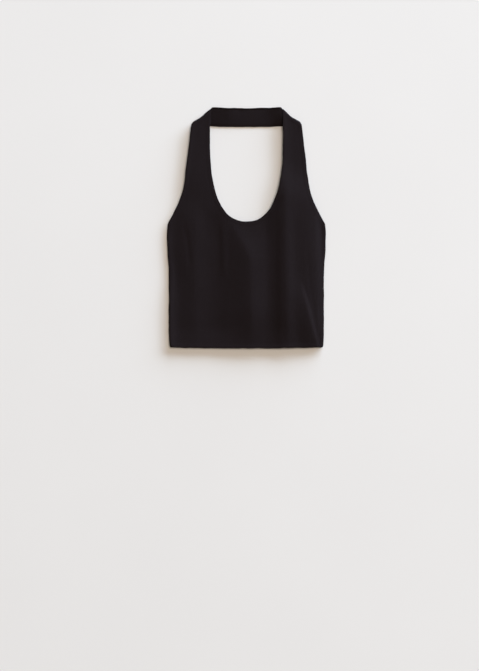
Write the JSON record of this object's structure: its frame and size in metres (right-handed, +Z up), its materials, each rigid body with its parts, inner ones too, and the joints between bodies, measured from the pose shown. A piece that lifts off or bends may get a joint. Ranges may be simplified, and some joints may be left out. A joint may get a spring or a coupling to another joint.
{
  "type": "halter neck top",
  "caption": "Cropped halter neck top in doubled stretch jersey, laid flat with its front uppermost: deep scoop neckline, cut-on straps and a neck band behind.",
  "frame": {"origin": "on the surface the garment lies on, under the middle of its outline", "axes": "+X to the right as seen from above, +Y from the hem to the neck band, +Z up from the surface"},
  "size_m": [0.34, 0.5164, 0.0081],
  "materials": {
    "front_jersey": "fine smooth black jersey, two layers",
    "back_jersey": "fine smooth black jersey, two layers",
    "band_jersey": "fine smooth black jersey, two layers, stitched along its upper edge"
  },
  "bodies": {
    "root": {"front_panel": "front_jersey", "back_panel": "back_jersey", "neck_band": "band_jersey"}
  },
  "joints": []
}
